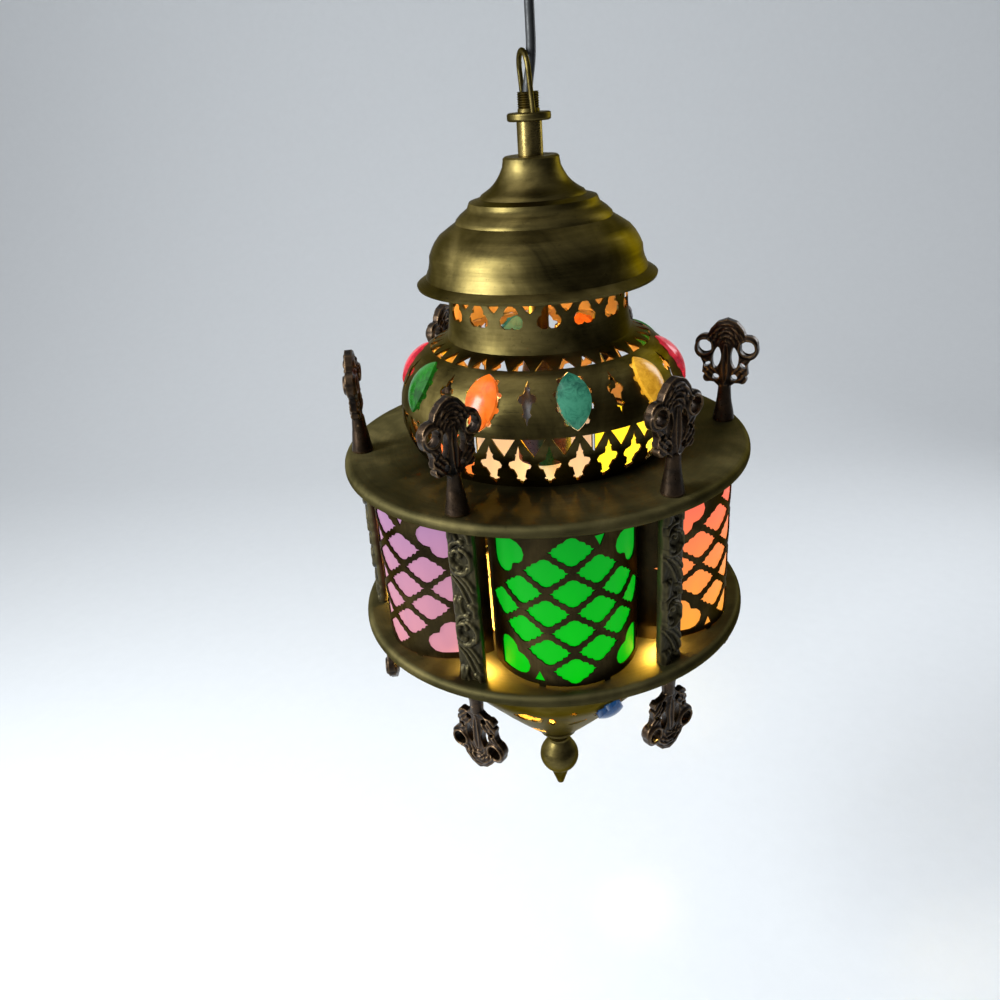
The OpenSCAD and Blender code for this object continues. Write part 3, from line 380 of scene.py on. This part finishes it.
def plain(name, color, rough, metallic=0.0, grain=900, depth=0.00005, spread=0.25):
    """A moulded or drawn surface with fine grain and slight colour variation."""
    s = Shade(name, Metallic=metallic, Roughness=rough)
    tiny = s.noise(s.place(), scale=grain, detail=4, rough=0.6)
    cloud = s.noise(s.place(), scale=60, detail=4, rough=0.6)
    s.set("Base Color", s.ramp(cloud, [(0.3, dimmed(color, 1 - spread)), (0.7, color)]))
    s.set("Roughness", s.grey(tiny, 0.3, rough * 0.8, 0.7, min(1, rough * 1.25)))
    s.bump(tiny, depth, 0.4)
    return s.mat


def lit(name, color, strength):
    """A frosted bulb that is bright in its round part and dim round its neck."""
    s = Shade(name, Roughness=0.3, Emission_Strength=strength)
    frost = s.noise(s.place(), scale=500, detail=3, rough=0.5)
    s.set("Base Color", s.ramp(frost, [(0.3, (0.8, 0.74, 0.62)), (0.7, (0.9, 0.86, 0.76))]))
    s.set("Emission Color", s.ramp(s.falling(-0.018, 24.0),
                                   [(0.0, dimmed(color, 0.022)), (0.45, dimmed(color, 0.06)), (0.8, color)]))
    s.bump(frost, 0.00005, 0.2)
    return s.mat


# Dark, middle and bright tone of each metal
AGED = ((0.036, 0.028, 0.0095), (0.085, 0.065, 0.021), (0.17, 0.13, 0.045))
PLATE = ((0.036, 0.031, 0.0125), (0.066, 0.055, 0.022), (0.13, 0.105, 0.042))
POLISHED = ((0.07, 0.053, 0.019), (0.14, 0.105, 0.036), (0.3, 0.22, 0.076))
SHEET = ((0.016, 0.012, 0.006), (0.036, 0.026, 0.011), (0.1, 0.07, 0.027))
FINIAL = ((0.006, 0.0045, 0.0035), (0.03, 0.017, 0.009), (0.2, 0.12, 0.055))
COLUMN = ((0.012, 0.01, 0.0045), (0.04, 0.033, 0.014), (0.13, 0.104, 0.044))
DOME_MIDDLE = 20
BOWL_MIDDLE = -113

aged = brass("aged_brass", *AGED)
dome_brass = brass("dome_brass", *AGED, hollow=DOME_MIDDLE)
bowl_brass = brass("bowl_brass", *AGED, hollow=BOWL_MIDDLE)
plate_brass = brass("plate_brass", *PLATE, rough=(0.56, 0.7))
bright = brass("bright_brass", *POLISHED, rough=(0.2, 0.34), tarnish=0.3)
sheet_brass = brass("panel_brass", *SHEET, rough=(0.34, 0.52), spun=False)
bronze = cast("finial_bronze", *FINIAL)
column_bronze = cast("column_bronze", *COLUMN, rough=(0.36, 0.6))
steel = plain("zinc_steel", (0.42, 0.42, 0.42), 0.35, metallic=1.0)
sheath = plain("cord_sheath", (0.008, 0.009, 0.01), 0.5, depth=0.00003)
bush = plain("rubber_bush", (0.02, 0.02, 0.02), 0.8)
ivory = plain("ivory_plastic", (0.82, 0.8, 0.72), 0.45)
black = plain("black_plastic", (0.02, 0.02, 0.022), 0.3)
lead = plain("lead_insulation", (0.24, 0.07, 0.03), 0.5)
bulb_glow = lit("bulb_glow", (1.0, 0.66, 0.3), 26.0)

STONES = {
    "green": stone("stone_green", (0.014, 0.16, 0.01), (0.004, 0.05, 0.004)),
    "orange": stone("stone_orange", (0.9, 0.16, 0.012), (0.6, 0.08, 0.006)),
    "teal": stone("stone_teal", (0.04, 0.2, 0.12), (0.01, 0.08, 0.05)),
    "yellow": stone("stone_yellow", (0.82, 0.42, 0.03), (0.55, 0.24, 0.01)),
    "red": stone("stone_red", (0.8, 0.04, 0.06), (0.42, 0.015, 0.035)),
    "blue": stone("stone_blue", (0.01, 0.06, 0.18), (0.003, 0.02, 0.075)),
}
DOME_STONES = ("green", "orange", "teal", "yellow", "red")
LINERS = [
    liner("liner_amber", (0.92, 0.6, 0.02), (1.0, 0.86, 0.04), glow=1.4),
    liner("liner_peach", (0.5, 0.33, 0.22), (0.72, 0.5, 0.3)),
    liner("liner_red", (0.8, 0.12, 0.04), (0.95, 0.3, 0.05)),
    liner("liner_mauve", (0.42, 0.22, 0.4), (0.72, 0.29, 0.33)),
    liner("liner_green", (0.001, 0.34, 0.016), (0.0, 0.56, 0.004)),
    liner("liner_orange", (1.0, 0.15, 0.1), (1.0, 0.4, 0.045), glow=1.1),
]
LOOKS = {
    "ceiling_rose": aged, "rose_bracket": steel, "rose_fasteners": bright, "cord_grip": aged,
    "terminal_block": ivory, "cord_bush": bush, "hanging_loop": aged, "threaded_tube": aged,
    "spacer_sleeve": bright, "cap": aged, "tube_nuts": steel, "upper_dome": dome_brass,
    "top_plate": plate_brass, "bottom_plate": plate_brass, "bowl": bowl_brass, "bowl_ring": sheet_brass,
    "bottom_finial": aged, "bowl_hinge": sheet_brass, "hinge_pin": steel, "lampholder": black,
    "holder_leads": lead, "bulb": bulb_glow,
    "bowl_stones_green": STONES["green"], "bowl_stones_blue": STONES["blue"],
}
LOOKS.update({"stones_" + colour: STONES[colour] for colour in DOME_STONES})
for k in range(1, SIDES + 1):
    LOOKS["panel_%d" % k] = sheet_brass
    LOOKS["liner_%d" % k] = LINERS[k - 1]
    LOOKS["top_finial_%d" % k] = bronze
    LOOKS["lower_finial_%d" % k] = bronze
    LOOKS["column_%d" % k] = column_bronze


def paint(obj, mat):
    obj.data.materials.clear()
    obj.data.materials.append(mat)


for name, mat in LOOKS.items():
    for slot in nodes[name].material_slots:
        slot.material = mat
    if not nodes[name].material_slots:
        paint(nodes[name], mat)
paint(flex, sheath)


# Turned skins

TURNED = ("cap", "upper_dome", "bowl", "bottom_finial", "top_plate", "bottom_plate", "spacer_sleeve",
          "ceiling_rose", "cord_grip", "bulb", "lampholder")
SHARP = math.radians(34)
WELD = 0.01 * MM


def make_skin():
    """A modifier that shades the narrow bands of a turned piece as one smooth line."""
    group = bpy.data.node_groups.new("turned_skin", "GeometryNodeTree")
    group.interface.new_socket("Geometry", in_out="INPUT", socket_type="NodeSocketGeometry")
    group.interface.new_socket("Geometry", in_out="OUTPUT", socket_type="NodeSocketGeometry")
    start = group.nodes.new("NodeGroupInput")
    end = group.nodes.new("NodeGroupOutput")
    weld = group.nodes.new("GeometryNodeMergeByDistance")
    weld.inputs["Distance"].default_value = WELD
    bend = group.nodes.new("GeometryNodeInputMeshEdgeAngle")
    sharp = group.nodes.new("FunctionNodeCompare")
    sharp.data_type = "FLOAT"
    sharp.operation = "GREATER_THAN"
    sharp.inputs[1].default_value = SHARP
    normals = group.nodes.new("GeometryNodeSetMeshNormal")
    normals.mode = "SHARPNESS"
    normals.inputs["Remove Custom"].default_value = True
    normals.inputs["Face Sharpness"].default_value = False
    join = group.links.new
    join(start.outputs[0], weld.inputs["Geometry"])
    join(weld.outputs[0], normals.inputs["Mesh"])
    join(bend.outputs["Unsigned Angle"], sharp.inputs[0])
    join(sharp.outputs[0], normals.inputs["Edge Sharpness"])
    join(normals.outputs[0], end.inputs[0])
    return group


skin = make_skin()
for name in TURNED:
    nodes[name].modifiers.new("skin", "NODES").node_group = skin


# Castings: what finials and columns share

FIRST_COLUMN = 5.5
COLUMN_RING = 95.5
LOWER_Z = -91.0
PLATE_T = 1


def column_angle(k):
    """The direction of column k (1 to 6), in radians."""
    return math.radians(FIRST_COLUMN + 360 / SIDES * (k - 1))


def round_the_axis(radius, angle, z):
    """A point given in mm by its distance from the axis, its direction and its height."""
    return at(radius * math.cos(angle), radius * math.sin(angle), z)


def co_of(mesh):
    co = np.zeros(len(mesh.vertices) * 3)
    mesh.vertices.foreach_get("co", co)
    return co.reshape(-1, 3)


def put_co(mesh, co):
    mesh.vertices.foreach_set("co", np.asarray(co, float).ravel())
    mesh.update()


def eased(x):
    """x kept between 0 and 1."""
    return np.clip(x, 0, 1)


def waves(co, seed, scale, size, count=5):
    """Smooth seeded lumps, as sums of sines along each axis."""
    rng = np.random.default_rng(seed)
    out = np.zeros_like(co)
    for axis in range(3):
        for _ in range(count):
            k = rng.normal(size=3) * scale
            out[:, axis] += np.sin(co @ k + rng.uniform(0, 6.28))
    return out * size / count


def add_casting(mesh, node, mat):
    """Puts a casting in the scene in place of its CAD node."""
    mesh.polygons.foreach_set("use_smooth", [True] * len(mesh.polygons))
    mesh.name = "cast_" + node
    obj = bpy.data.objects.new("cast_" + node, mesh)
    scene.collection.objects.link(obj)
    paint(obj, mat)
    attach(obj, "lantern")
    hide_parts(node)


# Finials, in mm: the socket below, the flat chased head above it

SOCKET_H = 18.0
HEAD_H = 36.0
HEAD_W = 33.0
HEAD_HALF_T = 1.3
TOP_TURNS = [60, 8, 25, 0, 70, 5]
LOWER_TURNS = [6, -7, 4, 0, -11, 3]
VOXEL = 0.38
SOFTENING = 4
FINIAL_LUMPS = 0.28


def finial_place(k, lower):
    """Where finial k (1 to 6) stands, from its own frame in mm to the row frame."""
    angle = column_angle(k)
    turn = angle + math.radians((LOWER_TURNS if lower else TOP_TURNS)[k - 1])
    spot = round_the_axis(COLUMN_RING, angle, LOWER_Z if lower else 0)
    m = Matrix.Translation(spot) @ Matrix.Rotation(turn, 4, "Z")
    if lower:
        m = m @ Matrix.Rotation(math.pi, 4, "X")
    return m @ Matrix.Scale(MM, 4)


def remeshed(mesh, voxel, smooth):
    """A copy of the mesh with an even skin and softened edges."""
    obj = bpy.data.objects.new("scratch", mesh)
    scene.collection.objects.link(obj)
    mod = obj.modifiers.new("skin", "REMESH")
    mod.mode = "VOXEL"
    mod.voxel_size = voxel
    soft = obj.modifiers.new("soft", "SMOOTH")
    soft.factor = 0.5
    soft.iterations = smooth
    graph = bpy.context.evaluated_depsgraph_get()
    graph.update()
    made = bpy.data.meshes.new_from_object(obj.evaluated_get(graph))
    bpy.data.objects.remove(obj)
    return made


def ridge(d, width):
    return np.exp(-(d / width) ** 2)


def finial_relief(y, z):
    """Height in mm of the chased ornament over the head's flat face."""
    v = z - SOCKET_H
    across = np.abs(y)
    h = np.zeros_like(y)
    # The shell's ribs, as rings round the middle of the crown
    fan_z, fan_r, rib_step = HEAD_H * 0.62, 11.5, 2.3
    crown = np.hypot(y, v - fan_z)
    h += 0.4 * eased((v - fan_z) / 2) * eased((fan_r - crown) / 1.5) * np.cos(2 * np.pi * crown / rib_step)
    # A raised rim round the side loops, and a small scroll on each side of the foot
    for s in (-1, 1):
        loop = np.hypot(y - s * HEAD_W * 0.33, v - HEAD_H * 0.59)
        h += 0.5 * ridge(loop - 4.3, 0.7)
        scroll = np.hypot(y - s * HEAD_W * 0.2, v - HEAD_H * 0.2)
        h += 0.4 * ridge(scroll - 2.6, 0.55) * (v < HEAD_H * 0.34)
    # Slanting veins beside the spine
    vein_rise, vein_slant, vein_step = 0.75, 0.8, 2.6
    side = eased((across - 3.0) / 1.5) * eased((HEAD_H * 0.46 - v) / 3) * eased(v / 5)
    h += 0.3 * side * np.cos(2 * np.pi * (v * vein_rise - across * vein_slant) / vein_step)
    # A groove down the spine with a bead on each side
    spine = eased((HEAD_H * 0.7 - v) / 4) * eased((v - 2) / 3)
    h -= 0.45 * ridge(y, 0.55) * spine
    h += 0.3 * ridge(across - 1.5, 0.6) * spine
    return h


def make_finials():
    base = nodes["top_finial_4"].data.copy()
    base.transform(finial_place(4, False).inverted())
    local = remeshed(base, VOXEL, SOFTENING)
    co = co_of(local)
    x, y, z = co.T
    face = eased((np.abs(x) - HEAD_HALF_T) / 0.6) * (z > SOCKET_H)
    co[:, 0] += np.sign(x) * face * finial_relief(y, z)
    for lower in (False, True):
        for k in range(1, SIDES + 1):
            mesh = local.copy()
            seed = 40 + k + 10 * lower
            put_co(mesh, co + waves(co, seed, 0.35, FINIAL_LUMPS) * eased(co[:, 2:] / 6))
            mesh.transform(finial_place(k, lower))
            add_casting(mesh, "%s_finial_%d" % ("lower" if lower else "top", k), bronze)
    bpy.data.meshes.remove(base)


make_finials()


# Columns, in mm: a flat back, and a front face with a climbing vine

COLUMN_W = 13.0
COLUMN_H = 89.0
COLUMN_BACK = -2.3
COLUMN_FACE = 1.5
COLUMN_HIGH = 2.1
COLUMN_LUMPS = 0.14
EDGE_ROUND = 1.4
BACK_SHARE = 0.96
ACROSS = 40
ALONG = 250


def spiral(cx, cy, r0, r1, a0, a1, n=70):
    a = np.radians(np.linspace(a0, a1, n))
    r = np.linspace(r0, r1, n)
    return np.stack([cx + r * np.cos(a), cy + r * np.sin(a)], 1)


def stroke(a, b, bend=0.0, n=30):
    t = np.linspace(0, 1, n)[:, None]
    a, b = np.array(a, float), np.array(b, float)
    side = np.array([-(b - a)[1], (b - a)[0]])
    return a + (b - a) * t + side * bend * np.sin(np.pi * t)


# One leaf scroll of the vine, about its curl: (points, half width, height)
SCROLL = [
    (spiral(-1.5, 0.2, 1.5, 2.4, -30, 190), 0.95, 0.95),
    (spiral(-0.6, -1.6, 4.4, 5.2, 150, 262), 1.35, 1.0),
    (spiral(-0.7, -5.0, 4.4, 4.4, 196, 342), 1.15, 1.0),
    (spiral(-1.0, -3.4, 6.7, 6.2, 78, -52), 0.9, 0.85),
    (spiral(-0.4, 2.2, 4.2, 4.8, 178, 70), 1.1, 0.85),
    (stroke((-3.8, -9.6), (5.4, -23.5), 0.07), 0.95, 0.8),
    (stroke((-0.9, -9.8), (5.7, -18.2), 0.06), 0.8, 0.7),
    (stroke((-5.4, -11.0), (1.6, -24.5), 0.05), 0.7, 0.6),
    (stroke((-4.5, 13.6), (-4.3, 8.6), 0.1), 1.9, 0.95),
    (stroke((-1.9, 15.2), (-1.1, 8.2), -0.12), 0.9, 0.75),
    (stroke((2.4, 12.4), (5.3, 7.4), 0.18), 1.1, 0.7),
    (stroke((-5.2, 6.6), (-1.2, 7.4), 0.25), 0.8, 0.7),
]
SCROLL_COUNT = 4
SCROLL_STEP = 39.0
SCROLL_FIRST = -8.6


def column_strokes():
    """The vine that climbs a column: one scroll after the other."""
    return [(points + (0, SCROLL_FIRST + SCROLL_STEP * j), width, high)
            for j in range(SCROLL_COUNT) for points, width, high in SCROLL]


def vine_height(grid):
    """Share of the full relief at each point of the column's face."""
    height = np.zeros(len(grid))
    for points, width, high in column_strokes():
        near = (grid[:, 1] > points[:, 1].min() - 3) & (grid[:, 1] < points[:, 1].max() + 3)
        if not near.any():
            continue
        d = np.sqrt(((grid[near][:, None] - points[None]) ** 2).sum(2)).min(1)
        height[near] = np.maximum(height[near], high * eased(1 - (d / (width * 1.5)) ** 2) ** 0.7)
    return height


def column_shape():
    """Points and faces of one column: the relief in front, walls round it and a flat back."""
    u, v = np.meshgrid(np.linspace(-COLUMN_W / 2, COLUMN_W / 2, ACROSS + 1),
                       np.linspace(0, COLUMN_H, ALONG + 1))
    grid = np.stack([u.ravel(), v.ravel()], 1)
    x, y = grid.T
    edge = eased((COLUMN_W / 2 - np.abs(x)) / EDGE_ROUND)
    lumps = 0.12 * np.sin(y * 0.9 + 1.3 * np.sin(x)) * np.sin(x * 1.7)
    face = (COLUMN_FACE * (0.55 + 0.45 * edge ** 0.5)
            + COLUMN_HIGH * vine_height(grid) * (0.35 + 0.65 * edge) + lumps * edge)
    verts = [(f, p[0], p[1]) for f, p in zip(face, grid)]
    row = ACROSS + 1
    corners = [j * row + i for j in range(ALONG) for i in range(ACROSS)]
    faces = [(a, a + 1, a + 1 + row, a + row) for a in corners]
    foot = list(range(row))
    right = [j * row + ACROSS for j in range(1, ALONG + 1)]
    top = [ALONG * row + i for i in range(ACROSS - 1, -1, -1)]
    left = [j * row for j in range(ALONG - 1, 0, -1)]
    rim = foot + right + top + left
    first = len(verts)
    verts += [(COLUMN_BACK, verts[a][1] * BACK_SHARE, verts[a][2]) for a in rim]
    n = len(rim)
    faces += [(rim[i], first + i, first + (i + 1) % n, rim[(i + 1) % n]) for i in range(n)]
    faces.append(tuple(first + i for i in range(n - 1, -1, -1)))
    return verts, faces


def make_columns():
    verts, faces = column_shape()
    for k in range(1, SIDES + 1):
        node = "column_%d" % k
        mesh = bpy.data.meshes.new("cast_" + node)
        mesh.from_pydata(verts, [], faces)
        co = co_of(mesh)
        co += waves(co, 90 + k, 0.3, COLUMN_LUMPS) * eased((co[:, :1] - COLUMN_BACK) / 2)
        co[:, 2] = np.clip(co[:, 2], 0.0, COLUMN_H)
        put_co(mesh, co)
        spot = round_the_axis(COLUMN_RING, column_angle(k), LOWER_Z + PLATE_T)
        turn = Matrix.Rotation(column_angle(k), 4, "Z")
        mesh.transform(Matrix.Translation(spot) @ turn @ Matrix.Scale(MM, 4))
        add_casting(mesh, node, column_bronze)


make_columns()


# Stage and light

FLOOR_Z = -0.78
PALE = (0.72, 0.735, 0.75)
MIDDLE = (0, 0, -0.25)
COOL = (0.92, 0.97, 1.0)
COOLER = (0.92, 0.96, 1.0)
ROOM_TINT = (0.93, 0.96, 1.0, 1)
ROOM_LEAN = (-0.88, 0.12, 0.45)
ROOM_RANGE = (("From Min", -0.35), ("From Max", 1.0), ("To Min", 0.05), ("To Max", 1.05))
SEAM_RING = 84
SEAM_Z = -82


def make_stage():
    """A floor that curves up into a wall, in one pale colour."""
    half, front, back, bend, high, steps = 4.0, -3.0, 2.2, 1.0, 3.2, 12
    line = [(front, FLOOR_Z), (back - bend, FLOOR_Z)]
    for i in range(1, steps + 1):
        a = math.radians(90 * i / steps)
        line.append((back - bend + bend * math.sin(a), FLOOR_Z + bend - bend * math.cos(a)))
    line.append((back, high))
    verts = [(x, y, z) for x in (-half, half) for y, z in line]
    n = len(line)
    faces = [(i, i + 1, n + i + 1, n + i) for i in range(n - 1)]
    mesh = bpy.data.meshes.new("backdrop")
    mesh.from_pydata(verts, [], faces)
    mesh.polygons.foreach_set("use_smooth", [True] * len(mesh.polygons))
    obj = bpy.data.objects.new("backdrop", mesh)
    scene.collection.objects.link(obj)
    paint(obj, plain("backdrop_paper", PALE, 0.9, grain=300, spread=0.02))


def make_world():
    """A pale room that is brightest to the left, with an even wall where the camera looks."""
    world = bpy.data.worlds.new("studio")
    scene.world = world
    world.use_nodes = True
    tree = world.node_tree
    tree.nodes.clear()
    out = tree.nodes.new("ShaderNodeOutputWorld")
    mixer = tree.nodes.new("ShaderNodeMixShader")
    soft = tree.nodes.new("ShaderNodeBackground")
    seen = tree.nodes.new("ShaderNodeBackground")
    path = tree.nodes.new("ShaderNodeLightPath")
    way = tree.nodes.new("ShaderNodeTexCoord")
    lean = tree.nodes.new("ShaderNodeVectorMath")
    lean.operation = "DOT_PRODUCT"
    lean.inputs[1].default_value = ROOM_LEAN
    level = tree.nodes.new("ShaderNodeMapRange")
    for socket, value in ROOM_RANGE:
        level.inputs[socket].default_value = value
    tree.links.new(way.outputs["Generated"], lean.inputs[0])
    tree.links.new(lean.outputs["Value"], level.inputs["Value"])
    tree.links.new(level.outputs["Result"], soft.inputs[1])
    soft.inputs[0].default_value = ROOM_TINT
    seen.inputs[0].default_value = (*PALE, 1)
    seen.inputs[1].default_value = 1.0
    tree.links.new(path.outputs["Is Camera Ray"], mixer.inputs[0])
    tree.links.new(soft.outputs[0], mixer.inputs[1])
    tree.links.new(seen.outputs[0], mixer.inputs[2])
    tree.links.new(mixer.outputs[0], out.inputs[0])


def area(name, spot, aim, size, watts, color=(1, 1, 1)):
    """A rectangular lamp at a spot, aimed at a point."""
    lamp = bpy.data.lights.new(name, "AREA")
    lamp.shape = "RECTANGLE"
    lamp.size, lamp.size_y = size
    lamp.energy = watts
    lamp.color = color
    obj = bpy.data.objects.new(name, lamp)
    obj.location = spot
    obj.rotation_euler = (Vector(aim) - Vector(spot)).to_track_quat("-Z", "Y").to_euler()
    scene.collection.objects.link(obj)


def glow(name, spot, radius, watts, color=(1.0, 0.62, 0.22)):
    """Light that the bulb throws into one part of the lantern."""
    lamp = bpy.data.lights.new(name, "POINT")
    lamp.energy = watts
    lamp.color = color
    lamp.shadow_soft_size = radius * MM
    obj = bpy.data.objects.new(name, lamp)
    obj.location = spot
    scene.collection.objects.link(obj)


make_stage()
make_world()
area("key_left", spot=(-0.95, -0.55, 0.25), aim=MIDDLE, size=(0.4, 0.9), watts=32, color=COOL)
area("back_right", spot=(0.9, 0.7, 0.15), aim=MIDDLE, size=(0.4, 0.8), watts=5, color=COOLER)
area("over", spot=(-0.5, -0.1, 1.1), aim=(0, 0, -0.3), size=(0.7, 0.7), watts=3)
glow("bowl_light", at(0, 0, -98), radius=8, watts=3.2, color=(1.0, 0.76, 0.22))
glow("dome_light", at(24, 0, 20), radius=5, watts=0.12)
glow("neck_light", at(-20, 0, 62), radius=5, watts=0.08)
for k in range(1, SIDES + 1):
    spot = round_the_axis(SEAM_RING, column_angle(k), SEAM_Z)
    area("seam_light_%d" % k, spot, aim=spot - Vector((0, 0, 0.1)), size=(5 * MM, 8 * MM), watts=0.075,
         color=(1.0, 0.66, 0.2))
